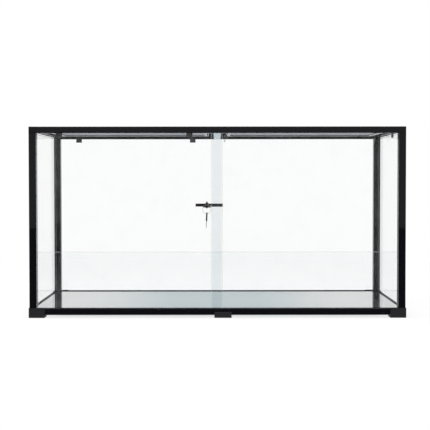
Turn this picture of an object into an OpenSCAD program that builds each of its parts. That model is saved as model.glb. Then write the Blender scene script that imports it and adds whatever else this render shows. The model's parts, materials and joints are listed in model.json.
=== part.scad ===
// Knock-down glass terrarium: an extruded frame of rails and posts on corner
// connectors, slotted glass panes, two sliding front doors with a ratchet lock,
// a low glass barrier behind the doors and two lift-out mesh screens on top.
// +X is to the right, +Y to the back and +Z up; the feet stand on Z = 0.

/* [Frame] */
// Outside width of the frame
frame_w = 1219; // [1000:1:1500]
// Outside depth of the frame
frame_d = 610; // [450:1:760]
// Outside height of the frame, without the feet
frame_h = 610; // [460:1:760]
// Width of the posts, and depth of the side and back rails
post_w = 24.4; // [24:0.1:32]
// Depth of the front rails and front posts
front_depth = 27.2; // [27:0.1:34]
// Height of the top rails
top_face = 21; // [20:0.5:30]
// Height of the bottom rails
bottom_face = 22; // [20:0.5:30]
// Wall of the extrusions
wall = 1.5; // [1.2:0.1:1.8]
// Rounding of the rails' outer edges
edge_r = 2; // [0.5:0.1:2.6]
// Rounding of the posts' outer corners
corner_r = 3.5; // [1:0.1:4]
// Wall of the posts round their chamber, at the rounded corner
post_wall = 2.2; // [1.8:0.1:3]
// Height of the web over the chamber of the bottom rails
web_v = 8.5; // [7:0.5:10]
// How far the floor pane lies below the top of the bottom rails
floor_drop = 2.5; // [1:0.5:4]
// How far the screens sit down into the top rails
screen_drop = 11; // [10:0.5:13]

/* [Connectors] */
// Length of each leg that plugs into a rail or a post
leg_length = 30; // [15:1:60]
// Clearance round a leg in its chamber
leg_gap = 0.15; // [0.05:0.05:0.4]

/* [Glass] */
// Thickness of the side, back and barrier panes
pane_t = 4; // [3:0.5:5]
// Thickness of the floor pane
floor_t = 5; // [4:0.5:6]
// Clearance on each face of a pane in its slot
pane_gap = 0.2; // [0.1:0.05:0.4]
// Distance from the frame's outer face to a pane's slot
slot_in = 3; // [2:0.1:4]
// Depth of the slots in the posts
slot_depth = 6; // [4:0.5:7]
// Depth of the pane slots in the top rails
top_slot = 8; // [6:0.5:9]
// Depth of the pane slots in the bottom rails
bottom_slot = 11; // [6:0.5:12]
// Clearance at a pane's edge
edge_gap = 0.5; // [0.2:0.1:1]
// Rounding of a pane's corners
pane_r = 2; // [1:0.5:4]
// Height of the barrier's top edge above the frame's underside
barrier_top = 204; // [120:1:300]

/* [Doors] */
// Thickness of the door panes
door_t = 4; // [3:0.5:5]
// How far the two doors overlap
door_overlap = 36.5; // [20:0.5:60]
// Middle of the overlap, from the terrarium's middle
overlap_x = -1.85; // [-40:0.05:40]
// Side walls of the double door track
track_wall = 0.8; // [0.6:0.1:1]
// Wall between the two grooves of the door track
track_web = 1.8; // [1.6:0.1:2.4]
// Floor of the door track
track_floor = 1.5; // [1:0.1:2]
// Clearance on each face of a door in its groove
door_gap = 0.25; // [0.15:0.05:0.4]
// Clearance of the track in its channel
track_gap = 0.1; // [0.05:0.05:0.2]
// Depth of the channel in the lower front rail
lower_channel = 12; // [9:0.5:12]
// Height of the lower door track
lower_track_h = 10; // [6:0.5:12]
// Depth of the channel and track in the upper front rail
upper_channel = 17.5; // [14:0.5:18]
// How far the doors reach up into the upper track
door_reach = 6.5; // [4:0.5:8]
// Clearance between a door's lower edge and its track
door_lift = 0.3; // [0.2:0.1:0.6]

/* [Crossbar and screens] */
// Width of the crossbar's box
crossbar_w = 24; // [18:1:40]
// Width of the ledge on each side of the crossbar
crossbar_ledge = 10; // [8:0.5:14]
// Thickness of the crossbar's ledges
crossbar_ledge_t = 3.5; // [2:0.5:6]
// Clearance at the screens' front and back edges
screen_gap = 0.3; // [0.2:0.1:1]
// Clearance at the screens' left and right edges
screen_side_gap = 1.75; // [0.5:0.05:3]
// Height of the screens' frames
screen_h = 9.5; // [8.5:0.5:12]
// Width of the screens' frame members
screen_member = 33; // [30:1:45]
// Width of the lip that carries the mesh
mesh_lip = 9; // [8:0.5:12]
// Thickness of that lip
mesh_lip_t = 3; // [2:0.5:4]
// Thickness of the mesh
mesh_t = 0.8; // [0.5:0.1:1.2]
// Width of one wire strand of the mesh as modelled
strand_w = 2; // [1:0.1:3]
// Number of openings in the mesh from front to back, as modelled
mesh_rows = 82; // [20:1:100]
// Number of openings in the mesh from left to right, as modelled
mesh_columns = 8; // [2:1:20]
// Thickness of the spline that holds the mesh
spline_w = 4; // [3:0.5:5]
// Height of the spline
spline_h = 3; // [2:0.5:4]
// Corner radius of the screens
screen_r = 3; // [1:0.5:8]

/* [Screen clips] */
// Width of a spring clip
clip_w = 20.5; // [14:0.5:30]
// How far a clip hangs below the screen
clip_drop = 23; // [18:0.5:30]
// Thickness of the clip's plastic
clip_t = 1.2; // [0.8:0.1:1.6]
// Distance of the clips from the middle of the screen's side
clip_offset = 212; // [100:1:240]
// Clearance between a clip and the rail
clip_gap = 0.3; // [0.2:0.1:1]

/* [Feet] */
// Height of the feet below the frame
sole_h = 9; // [5:0.5:15]
// Length of a corner foot's sides
foot_w = 52; // [40:1:80]
// Height of a corner foot's walls above the frame's underside
foot_wall_h = 23; // [10:1:40]
// Thickness of the feet outside the frame
foot_lip = 2.7; // [2:0.1:4]
// Width of a middle foot
mid_foot_w = 56; // [30:1:90]
// Height of a middle foot's wall above the frame's underside
mid_wall_h = 10; // [6:1:20]
// Place of the front middle foot
front_foot_x = 18; // [-60:1:60]
// Depth of the hollow under a foot
foot_hollow = 5; // [2:0.5:5]
// Rim left round the hollow
foot_rim = 5; // [3:0.5:8]

/* [Lock] */
// Height of the ratchet bar's middle above the floor
lock_z = 365; // [250:1:480]
// Middle of the lock housing
lock_x = -33.7; // [-40:0.1:-32]
// Left end of the ratchet bar
bar_end = -70.5; // [-120:0.5:-55]
// Height of the ratchet bar
bar_h = 10.3; // [8:0.1:12]
// Thickness of the ratchet bar
bar_t = 1.2; // [0.8:0.1:1.3]
// Clearance between the bar and the inner door's front face
bar_gap = 0.4; // [0.2:0.1:0.5]
// Length of the hook behind the inner door
hook_length = 9; // [5:1:15]
// Pitch of the ratchet teeth
tooth_pitch = 2.5; // [1.5:0.1:4]
// Depth of the ratchet teeth
tooth_depth = 1.3; // [0.6:0.1:2]
// Clearance between the bar and the housing's slot
slot_gap = 0.3; // [0.2:0.05:0.5]
// Width of the housing
housing_w = 14; // [13:0.5:18]
// How far the housing stands out of the frame's front face
housing_out = 15; // [8:0.5:25]
// Width of the saddle that rests on the bar
saddle_w = 26; // [20:0.5:30]
// Depth of the saddle in front of the bar
saddle_t = 3; // [2:0.5:5]
// Thickness of the soft stop against the outer door's edge
bumper_t = 2; // [1:0.5:4]
// Height of the plug's middle above the bar's middle
plug_rise = 1.5; // [0:0.1:4]
// Radius of the plug
plug_r = 5; // [4:0.1:5.8]
// Radial clearance of the plug in its bore
plug_gap = 0.05; // [0.02:0.01:0.09]
// How far the plug stands out of the housing
plug_proud = 0.6; // [0.2:0.1:1.5]

/* [Keys] */
// Length of a key's blade outside its head
blade_length = 20; // [16:0.5:20.4]
// Length of the blade's tang inside the head
tang_length = 12; // [8:0.5:14]
// Gap between a key's head and the plug
shoulder_gap = 1; // [0.5:0.1:3]
// Width of a key's blade
blade_w = 6.5; // [5:0.1:7]
// Thickness of a key's blade
blade_t = 2; // [1.5:0.1:2.4]
// Length of a key's head
head_length = 28; // [24:0.5:34]
// Width of a key's head
head_w = 22; // [18:0.5:28]
// Thickness of a key's head
head_t = 4.5; // [3.5:0.1:6]
// Radius of the hole for the ring
hole_r = 2.5; // [2:0.1:3]
// Distance of that hole from the head's end
hole_in = 5; // [4:0.1:7]
// Middle radius of the key ring
ring_r = 13; // [12:0.5:18]
// Radius of the ring's wire
ring_wire_r = 0.8; // [0.6:0.05:1]
// Play of the ring in a key's hole
ring_play = 0.5; // [0.4:0.05:0.8]
// Lean of the hanging key
spare_lean = 2.5; // [0:0.5:6]

/* [Hidden] */

$fn = 48;
cut = 1; // how far a cutting shape runs past the face it cuts

frame_colour = "#1b1a1f";
plastic_colour = "#2e2e31";
glass_colour = [0.72, 0.82, 0.82, 0.35];
metal_colour = "#9fa2a5";

// Places of the frame. The key stands out in front and the feet at the back.
key_out = housing_out + plug_proud + shoulder_gap + head_length;
front_reach = key_out + max(0, head_w / 2 - hole_in);
front_y = (front_reach - frame_d - foot_lip) / 2;
back_y = front_y + frame_d;
rail_x = frame_w - 2 * post_w;
rail_y = frame_d - front_depth - post_w;
post_h = frame_h - top_face - bottom_face;

// Channel of the doors, measured back from the frame's front face
slot_w = pane_t + 2 * pane_gap;
groove_w = door_t + 2 * door_gap;
track_w = 2 * track_wall + 2 * groove_w + track_web;
channel_w = track_w + 2 * track_gap;
rebate_wall = 2 * wall + channel_w;
outer_door_w = wall + track_gap + track_wall + door_gap;
inner_door_w = outer_door_w + groove_w + track_web;
barrier_slot = rebate_wall;

// Heights above the frame's underside
ledge_v = frame_h - screen_drop;
top_v = frame_h - top_face;
channel_floor = bottom_face - lower_channel;
floor_ledge = bottom_face - floor_drop - floor_t;
door_bottom = channel_floor + track_floor + door_lift;
door_top = top_v + door_reach;

// Screens
crossbar_half = crossbar_w / 2;
screen_w = frame_w / 2 - rebate_wall - crossbar_half - 2 * screen_side_gap;
screen_d = frame_d - 2 * rebate_wall - 2 * screen_gap;
screen_x = (crossbar_half + frame_w / 2 - rebate_wall) / 2;
screen_y = (front_y + back_y) / 2;
clip_in = front_depth - rebate_wall - screen_gap + clip_gap;
clip_base = 7;
groove_in = clip_in + clip_base + 1;

// Doors and lock
left_door_end = overlap_x + door_overlap / 2;
right_door_end = overlap_x - door_overlap / 2;
bar_front = inner_door_w - bar_gap - bar_t;
housing_back = inner_door_w - slot_gap;
plug_z = lock_z + plug_rise;
plug_end = bar_front - slot_gap - 2;
saddle_low = lock_z - bar_h / 2 - slot_gap - 2;

// Keys and ring
key_hole_y = front_y - key_out + hole_in;
ring_top_z = plug_z - hole_r + ring_wire_r + ring_play;
ring_z = ring_top_z - ring_r;
spare_hole_z = ring_z - ring_r + ring_wire_r + ring_play - hole_r;

// A corner of the frame: X and Y run inwards and Z up from the outer corner
module front_corner(right = false)
  mirror([right ? 1 : 0, 0, 0])
    translate([-frame_w / 2, front_y, sole_h])
      children();

module back_corner(right = false)
  mirror([right ? 1 : 0, 0, 0])
    translate([-frame_w / 2, back_y, sole_h])
      mirror([0, 1, 0])
        children();

// A section drawn as depth from the outer face and height, run along X or Y
module along_x(length)
  rotate([90, 0, 90])
    linear_extrude(length)
      children();

module along_y(length)
  translate([0, length, 0])
    rotate([90, 0, 0])
      linear_extrude(length)
        children();

// What a rounded edge takes off a section's corner at the origin
module edge_nick(r = edge_r)
  difference() {
    translate([-cut, -cut])
      square(r + cut);
    translate([r, r])
      circle(r);
  }

// Section of a rail's outside: rounded at its two outer edges
module rail_outline(depth, face)
  difference() {
    square([depth, face]);
    edge_nick();
    translate([0, face])
      mirror([0, 1])
        edge_nick();
  }

// Section of a post's outside: rounded at its outer corner
module post_outline(depth)
  difference() {
    square([post_w, depth]);
    edge_nick(corner_r);
  }

// Chambers that take the connectors' legs, as [from, size]
function top_chamber(depth) =
  [[rebate_wall, wall], [depth - wall - rebate_wall, top_face - screen_drop - 2 * wall]];
function bottom_chamber(depth) =
  [[wall, wall], [depth - 2 * wall, web_v - 2 * wall]];
function post_chamber(depth) =
  [
    [post_wall, post_wall],
    [post_w - slot_depth - wall - post_wall, depth - slot_depth - wall - post_wall]
  ];

module chamber(box, gap = 0)
  translate(box[0] + [gap, gap])
    square(box[1] - 2 * [gap, gap]);

// Rail sections
module top_rail_section(depth, doors)
  difference() {
    rail_outline(depth, top_face);
    translate([rebate_wall, top_face - screen_drop])
      square([depth, screen_drop + cut]);
    chamber(top_chamber(depth));
    if (doors)
      translate([wall, -cut])
        square([channel_w, upper_channel + cut]);
    else {
      translate([slot_in, -cut])
        square([slot_w, top_slot + cut]);
      translate([wall, top_slot + wall])
        square([rebate_wall - 2 * wall, top_face - top_slot - 2 * wall]);
      translate([slot_in + slot_w + wall, wall])
        square([rebate_wall - slot_in - slot_w - 2 * wall, top_slot + wall]);
    }
  }

// The ledge for the floor pane begins behind the rail's last slot, over a hollow
module bottom_rail_section(depth, doors) {
  ledge_in = (doors ? barrier_slot : slot_in) + slot_w + wall;
  difference() {
    rail_outline(depth, bottom_face);
    chamber(bottom_chamber(depth));
    translate([ledge_in, floor_ledge])
      square([depth, bottom_face]);
    translate([ledge_in, web_v])
      square([depth - ledge_in - wall, floor_ledge - wall - web_v]);
    if (doors) {
      translate([wall, channel_floor])
        square([channel_w, lower_channel + cut]);
      translate([barrier_slot, web_v])
        square([slot_w, bottom_face]);
    } else {
      translate([slot_in, bottom_face - bottom_slot])
        square([slot_w, bottom_slot + cut]);
    }
  }
}

// Post sections: the front ones hold the doors and the barrier, the back ones
// the back pane, and each a side pane
module front_post_section()
  difference() {
    post_outline(front_depth);
    chamber(post_chamber(front_depth));
    translate([post_w - slot_depth, wall])
      square([slot_depth + cut, channel_w]);
    translate([post_w - slot_depth, barrier_slot])
      square([slot_depth + cut, slot_w]);
    translate([slot_in, front_depth - slot_depth])
      square([slot_w, slot_depth + cut]);
  }

module back_post_section()
  difference() {
    post_outline(post_w);
    chamber(post_chamber(post_w));
    translate([post_w - slot_depth, slot_in])
      square([slot_depth + cut, slot_w]);
    translate([slot_in, post_w - slot_depth])
      square([slot_w, slot_depth + cut]);
  }

module bottom_front_rail()
  color(frame_colour)
    front_corner()
      translate([post_w, 0, 0])
        along_x(rail_x)
          bottom_rail_section(front_depth, true);

module bottom_back_rail()
  color(frame_colour)
    back_corner()
      translate([post_w, 0, 0])
        along_x(rail_x)
          bottom_rail_section(post_w, false);

module bottom_side_rail(right)
  color(frame_colour)
    front_corner(right)
      translate([0, front_depth, 0])
        along_y(rail_y)
          bottom_rail_section(post_w, false);

module top_front_rail()
  color(frame_colour)
    front_corner()
      translate([post_w, 0, top_v])
        along_x(rail_x)
          top_rail_section(front_depth, true);

module top_back_rail()
  color(frame_colour)
    back_corner()
      translate([post_w, 0, top_v])
        along_x(rail_x)
          top_rail_section(post_w, false);

module top_side_rail(right)
  color(frame_colour)
    front_corner(right)
      translate([0, front_depth, top_v])
        along_y(rail_y)
          top_rail_section(post_w, false);

module front_post(right)
  color(frame_colour)
    front_corner(right)
      translate([0, 0, bottom_face])
        linear_extrude(post_h)
          front_post_section();

module back_post(right)
  color(frame_colour)
    back_corner(right)
      translate([0, 0, bottom_face])
        linear_extrude(post_h)
          back_post_section();

// A connector's exposed cube, with the frame's rounded outer edges
module connector_cube(depth, face)
  intersection() {
    linear_extrude(face)
      post_outline(depth);
    along_y(depth)
      rail_outline(post_w, face);
    along_x(post_w)
      rail_outline(depth, face);
  }

// Three legs: into the front or back rail, the side rail and the post
module connector_legs(depth, x_box, y_box, up) {
  translate([post_w, 0, 0])
    along_x(leg_length)
      chamber(x_box, leg_gap);
  translate([0, depth, 0])
    along_y(leg_length)
      chamber(y_box, leg_gap);
  translate([0, 0, up > 0 ? up : -leg_length])
    linear_extrude(leg_length)
      chamber(post_chamber(depth), leg_gap);
}

// Slots in a cube where the corners of panes reach in, from height low to high
module side_pane_notch(depth, low, high)
  translate([slot_in, depth - slot_depth, low])
    cube([slot_w, slot_depth + cut, high - low]);

module back_pane_notch(low, high)
  translate([post_w - slot_depth, slot_in, low])
    cube([slot_depth + cut, slot_w, high - low]);

module door_notch(low, high)
  translate([post_w - slot_depth, wall, low])
    cube([slot_depth + cut, channel_w, high - low]);

module barrier_notch()
  translate([post_w - slot_depth, barrier_slot, web_v])
    cube([slot_depth + cut, slot_w, bottom_face]);

module bottom_connector(front) {
  depth = front ? front_depth : post_w;
  color(plastic_colour)
    difference() {
      union() {
        connector_cube(depth, bottom_face);
        connector_legs(depth, bottom_chamber(depth), bottom_chamber(post_w), bottom_face);
      }
      // the post's leg passes beside these notches, so they stop at the cube
      side_pane_notch(depth, bottom_face - bottom_slot, bottom_face + cut);
      if (front) {
        door_notch(channel_floor, bottom_face + cut);
        barrier_notch();
      } else {
        back_pane_notch(bottom_face - bottom_slot, bottom_face + cut);
      }
    }
}

module top_connector(front) {
  depth = front ? front_depth : post_w;
  color(plastic_colour)
    translate([0, 0, top_v])
      difference() {
        union() {
          connector_cube(depth, top_face);
          connector_legs(depth, top_chamber(depth), top_chamber(post_w), 0);
        }
        side_pane_notch(depth, -cut, top_slot);
        translate([rebate_wall, rebate_wall, top_face - screen_drop])
          cube([post_w, depth, screen_drop + cut]);
        if (front)
          door_notch(-cut, upper_channel);
        else
          back_pane_notch(-cut, top_slot);
      }
}

// Crossbar from front to back: a box with a ledge on each side for the screens.
// Its ends are notched to lie on the ledges of the front and back rails.
module crossbar_section()
  difference() {
    union() {
      translate([-crossbar_half, 0])
        square([crossbar_w, top_face]);
      translate([-crossbar_half - crossbar_ledge, top_face - screen_drop - crossbar_ledge_t])
        square([crossbar_w + 2 * crossbar_ledge, crossbar_ledge_t]);
    }
    translate([wall - crossbar_half, wall])
      square([crossbar_w - 2 * wall, top_face - 2 * wall]);
  }

module top_crossbar()
  color(frame_colour)
    translate([0, front_y, sole_h + top_v])
      difference() {
        translate([0, rebate_wall + screen_gap, 0])
          along_y(screen_d)
            crossbar_section();
        translate([-crossbar_w, 0, -cut])
          cube([2 * crossbar_w, front_depth, top_face - screen_drop + cut]);
        translate([-crossbar_w, frame_d - post_w, -cut])
          cube([2 * crossbar_w, post_w, top_face - screen_drop + cut]);
      }

// Corner foot: a sole under the frame and two outer walls, hollow underneath
module corner_foot()
  color(plastic_colour)
    translate([-foot_lip, -foot_lip, -sole_h])
      difference() {
        intersection() {
          linear_extrude(sole_h + foot_wall_h)
            difference() {
              square(foot_w);
              edge_nick(foot_lip + corner_r);
            }
          along_y(foot_w)
            foot_outline(foot_w, sole_h + foot_wall_h);
          along_x(foot_w)
            foot_outline(foot_w, sole_h + foot_wall_h);
        }
        translate([foot_lip, foot_lip, sole_h])
          linear_extrude(foot_wall_h + cut)
            post_seat(foot_w);
        for (x = [0, 1], y = [0, 1])
          translate([
            foot_rim + x * (foot_w - foot_rim) / 2,
            foot_rim + y * (foot_w - foot_rim) / 2,
            -cut
          ])
            cube([
              (foot_w - 3 * foot_rim) / 2,
              (foot_w - 3 * foot_rim) / 2,
              foot_hollow + cut
            ]);
      }

// Side view of a foot: its outer top edge is rounded, its lower one eased
module foot_outline(length, height)
  difference() {
    square([length, height]);
    edge_nick(1);
    translate([0, height])
      mirror([0, 1])
        edge_nick(foot_lip - 0.5);
  }

// The space that the frame's corner takes in a foot
module post_seat(size)
  difference() {
    square(size);
    edge_nick(corner_r);
  }

// Middle foot: a sole under the rail and a wall up its outer face
module middle_foot(depth)
  color(plastic_colour)
    translate([-mid_foot_w / 2, -foot_lip, -sole_h])
      difference() {
        along_x(mid_foot_w)
          foot_outline(depth + foot_lip, sole_h + mid_wall_h);
        translate([-cut, foot_lip, sole_h])
          difference() {
            cube([mid_foot_w + 2 * cut, depth + cut, mid_wall_h + cut]);
            along_x(mid_foot_w + 2 * cut)
              edge_nick();
          }
        for (x = [0, 1])
          translate([foot_rim + x * (mid_foot_w - foot_rim) / 2, foot_rim, -cut])
            cube([
              (mid_foot_w - 3 * foot_rim) / 2,
              depth + foot_lip - 2 * foot_rim,
              foot_hollow + cut
            ]);
      }

module front_middle_foot()
  translate([front_foot_x, front_y, sole_h])
    middle_foot(front_depth);

module back_middle_foot()
  translate([0, back_y, sole_h])
    mirror([0, 1, 0])
      middle_foot(post_w);

// Door tracks: double channels, seated in the front rails
module track_section(height)
  difference() {
    square([track_w, height]);
    for (i = [0, 1])
      translate([track_wall + i * (groove_w + track_web), track_floor])
        square([groove_w, height]);
  }

module lower_door_track()
  color("#151517")
    front_corner()
      translate([post_w, wall + track_gap, channel_floor])
        along_x(rail_x)
          track_section(lower_track_h);

module upper_door_track()
  color("#151517")
    front_corner()
      translate([post_w, wall + track_gap, top_v + upper_channel])
        mirror([0, 0, 1])
          along_x(rail_x)
            track_section(upper_channel);

// A pane's outline with eased corners
module pane_outline(size, r = pane_r)
  union() {
    translate([r, 0])
      square([size[0] - 2 * r, size[1]]);
    translate([0, r])
      square([size[0], size[1] - 2 * r]);
    for (x = [r, size[0] - r], y = [r, size[1] - r])
      translate([x, y])
        circle(r);
  }

// A pane that stands across X or across Y
module pane_x(length, height, thick)
  translate([0, thick, 0])
    rotate([90, 0, 0])
      linear_extrude(thick)
        pane_outline([length, height]);

module pane_y(length, height, thick)
  rotate([90, 0, 90])
    linear_extrude(thick)
      pane_outline([length, height]);

module side_glass(right) {
  low = bottom_face - bottom_slot;
  high = top_v + top_slot - edge_gap;
  color(glass_colour)
    front_corner(right)
      translate([slot_in + pane_gap, front_depth - slot_depth + edge_gap, low])
        pane_y(rail_y + 2 * slot_depth - 2 * edge_gap, high - low, pane_t);
}

module back_glass() {
  low = bottom_face - bottom_slot;
  high = top_v + top_slot - edge_gap;
  color(glass_colour)
    back_corner()
      translate([post_w - slot_depth + edge_gap, slot_in + pane_gap, low])
        pane_x(rail_x + 2 * slot_depth - 2 * edge_gap, high - low, pane_t);
}

module substrate_barrier()
  color(glass_colour)
    front_corner()
      translate([post_w - slot_depth + edge_gap, barrier_slot + pane_gap, web_v])
        pane_x(
          rail_x + 2 * slot_depth - 2 * edge_gap,
          barrier_top - web_v,
          pane_t
        );

// Floor pane on the rails' ledges, notched round the connectors
module floor_glass() {
  side_in = slot_in + slot_w + wall + edge_gap;
  front_in = barrier_slot + slot_w + wall + edge_gap;
  color(glass_colour)
    front_corner()
      translate([0, 0, floor_ledge])
        linear_extrude(floor_t)
          difference() {
            translate([side_in, front_in])
              square([frame_w - 2 * side_in, frame_d - front_in - side_in]);
            for (x = [0, frame_w - post_w - edge_gap]) {
              translate([x, 0])
                square([post_w + edge_gap, front_depth + edge_gap]);
              translate([x, frame_d - post_w - edge_gap])
                square([post_w + edge_gap, post_w + edge_gap]);
            }
          }
}

// Doors: the left one runs in the inner groove, the right one in the outer
module left_door_glass()
  color(glass_colour)
    front_corner()
      translate([post_w - slot_depth + edge_gap, inner_door_w, door_bottom])
        pane_x(
          frame_w / 2 - post_w + slot_depth - edge_gap + left_door_end,
          door_top - door_bottom,
          door_t
        );

module right_door_glass()
  color(glass_colour)
    translate([right_door_end, front_y + outer_door_w, sole_h + door_bottom])
      pane_x(
        frame_w / 2 - post_w + slot_depth - edge_gap - right_door_end,
        door_top - door_bottom,
        door_t
      );

// Ratchet bar: a flat strip that hooks round the inner door's free edge, with
// saw teeth along its lower edge
module bar_plan() {
  reach = inner_door_w + door_t - bar_front;
  difference() {
    translate([bar_end, bar_front])
      square([left_door_end + bar_t - bar_end, reach + bar_t]);
    translate([bar_end - cut, bar_front + bar_t])
      square([left_door_end - bar_end + cut, reach - bar_t]);
    translate([bar_end - cut, bar_front + bar_t])
      square([left_door_end - hook_length - bar_end + cut, reach + cut]);
    translate([left_door_end + bar_t, bar_front])
      mirror([1, 0])
        edge_nick(bar_t);
    translate([left_door_end + bar_t, bar_front + reach + bar_t])
      rotate(180)
        edge_nick(bar_t);
  }
}

module ratchet_teeth() {
  count = floor((right_door_end - bar_end) / tooth_pitch) - 1;
  translate([bar_end + tooth_pitch, front_y + bar_front - cut, lock_z - bar_h / 2])
    translate([0, bar_t + 2 * cut, 0])
      rotate([90, 0, 0])
        linear_extrude(bar_t + 2 * cut)
          polygon(concat(
            [for (i = [0 : count - 1], step = [0, 1])
              [i * tooth_pitch, step * tooth_depth]],
            [[count * tooth_pitch, 0], [count * tooth_pitch, -cut], [0, -cut]]
          ));
}

module lock_bar()
  color("#2a2a2c")
    difference() {
      translate([0, front_y, lock_z - bar_h / 2])
        linear_extrude(bar_h)
          bar_plan();
      ratchet_teeth();
    }

// Lock housing: a round-topped body that sits over the bar, with a saddle
module housing_outline()
  union() {
    translate([0, plug_z])
      circle(housing_w / 2);
    translate([-housing_w / 2, saddle_low])
      square([housing_w, plug_z - saddle_low]);
  }

module lock_housing()
  color("#4a4b4e")
    translate([lock_x, front_y, 0])
      difference() {
        union() {
          translate([0, housing_back, 0])
            rotate([90, 0, 0])
              linear_extrude(housing_back + housing_out)
                housing_outline();
          translate([-saddle_w / 2, bar_front - slot_gap - saddle_t, saddle_low])
            cube([
              saddle_w - lock_x + right_door_end - saddle_w / 2 - bumper_t,
              housing_back - bar_front + slot_gap + saddle_t,
              lock_z - saddle_low
            ]);
        }
        translate([-saddle_w, bar_front - slot_gap, lock_z - bar_h / 2 - slot_gap])
          cube([2 * saddle_w, door_t, bar_h + 2 * slot_gap]);
        translate([0, plug_end, plug_z])
          rotate([90, 0, 0])
            cylinder(r = plug_r + plug_gap, h = housing_out + plug_end + cut);
      }

// Soft stop between the saddle and the outer door's edge
module lock_bumper()
  color("#8f9193")
    translate([right_door_end - bumper_t, front_y + outer_door_w, saddle_low])
      cube([bumper_t, door_t, lock_z - saddle_low]);

// Plug with its keyway
module lock_plug()
  color(metal_colour)
    translate([lock_x, front_y, plug_z])
      difference() {
        translate([0, plug_end - edge_gap, 0])
          rotate([90, 0, 0])
            cylinder(r = plug_r, h = plug_end - edge_gap + housing_out + plug_proud);
        translate([-blade_t / 2, -housing_out - plug_proud - cut, -blade_w / 2])
          cube([blade_t, blade_length + cut, blade_w]);
      }

// A key drawn flat: X runs from the head's shoulder to its end, Y across
module head_outline(inset = 0) {
  round_r = head_w / 2;
  difference() {
    union() {
      translate([head_length - round_r, 0])
        circle(round_r - inset);
      translate([inset, -head_w / 3 + inset])
        square([head_length - round_r - inset, head_w / 1.5 - 2 * inset]);
    }
    translate([head_length - hole_in, 0])
      circle(hole_r);
  }
}

// The head: a core with thinner eased edges, moulded round the blade's tang
module head_solid()
  difference() {
    union() {
      translate([0, 0, -head_t / 2 + 0.7])
        linear_extrude(head_t - 1.4)
          head_outline();
      translate([0, 0, -head_t / 2])
        linear_extrude(head_t)
          head_outline(0.8);
    }
    translate([-cut, -blade_w / 2, -blade_t / 2])
      cube([tang_length + cut, blade_w, blade_t]);
  }

// The blade: a tapered tip, and cuts along one edge for the lock's wafers
module blade_outline() {
  tip = -blade_length - shoulder_gap + plug_gap;
  half = blade_w / 2;
  taper = blade_w / 3;
  difference() {
    polygon([
      [tip, taper - half], [tip + taper, -half], [tang_length, -half],
      [tang_length, half], [tip + taper, half], [tip, half - taper]
    ]);
    for (i = [1 : 5])
      translate([tip + taper + i * 2.6, -half])
        circle(0.7 + 0.3 * (i * 2 % 3), $fn = 24);
  }
}

module blade_solid()
  translate([0, 0, -blade_t / 2])
    linear_extrude(blade_t)
      blade_outline();

// The key in the lock: edge on to the front, its head standing out
module in_lock()
  translate([lock_x, front_y - housing_out - plug_proud - shoulder_gap, plug_z])
    rotate([0, 90, 0])
      rotate(-90)
        children();

// The spare key hangs from the ring, edge on to the front
module on_ring()
  translate([lock_x, key_hole_y, spare_hole_z])
    rotate([0, spare_lean, 0])
      translate([0, 0, hole_in - head_length])
        rotate([0, -90, 0])
          children();

module key_blade()
  color(metal_colour)
    in_lock()
      blade_solid();

module key_head()
  color(plastic_colour)
    in_lock()
      head_solid();

module spare_key_blade()
  color(metal_colour)
    on_ring()
      blade_solid();

module spare_key_head()
  color(plastic_colour)
    on_ring()
      head_solid();

module key_ring()
  color(metal_colour)
    translate([lock_x, key_hole_y, ring_z])
      rotate([90, 0, 0])
        rotate_extrude()
          translate([ring_r, 0])
            circle(ring_wire_r, $fn = 24);

// Screens, drawn about their middle with Z = 0 on the ledge
module at_screen(right)
  translate([(right ? 1 : -1) * screen_x, screen_y, sole_h + ledge_v])
    children();

// A flat ring between two distances from the screen's outer edge
module screen_ring(outer_in, inner_in, r = 0)
  difference() {
    screen_plate(outer_in, r);
    screen_plate(inner_in);
  }

module screen_plate(inset, r = 0) {
  w = screen_w - 2 * inset;
  d = screen_d - 2 * inset;
  translate([-w / 2, -d / 2])
    if (r > 0)
      pane_outline([w, d], r);
    else
      square([w, d]);
}

// Frame of a screen: a grooved member and an inner lip for the mesh
module screen_frame(right)
  color(frame_colour)
    at_screen(right)
      difference() {
        union() {
          linear_extrude(mesh_lip_t)
            screen_ring(0, screen_member, screen_r);
          linear_extrude(screen_h)
            screen_ring(0, screen_member - mesh_lip, screen_r);
        }
        translate([0, 0, -cut])
          linear_extrude(screen_h - mesh_lip_t + cut)
            screen_ring(groove_in, screen_member - mesh_lip - mesh_lip_t / 2);
      }

// Mesh: close strands from left to right, tied by a few from front to back,
// held all round under the spline
module screen_mesh(right) {
  mesh_in = screen_member - mesh_lip + 1;
  open_w = screen_w - 2 * screen_member;
  open_d = screen_d - 2 * screen_member;
  pitch_x = (open_w + strand_w) / mesh_columns;
  pitch_y = (open_d + strand_w) / mesh_rows;
  color(metal_colour)
    at_screen(right)
      translate([0, 0, mesh_lip_t])
        linear_extrude(mesh_t)
          difference() {
            screen_plate(mesh_in);
            for (i = [0 : mesh_columns - 1], j = [0 : mesh_rows - 1])
              translate([-open_w / 2 + i * pitch_x, -open_d / 2 + j * pitch_y])
                square([pitch_x - strand_w, pitch_y - strand_w]);
          }
}

module screen_spline(right)
  color("#1d1d1f")
    at_screen(right)
      translate([0, 0, mesh_lip_t + mesh_t])
        linear_extrude(spline_h)
          screen_ring(screen_member - mesh_lip + 1, screen_member - mesh_lip + 1 + spline_w);

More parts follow.
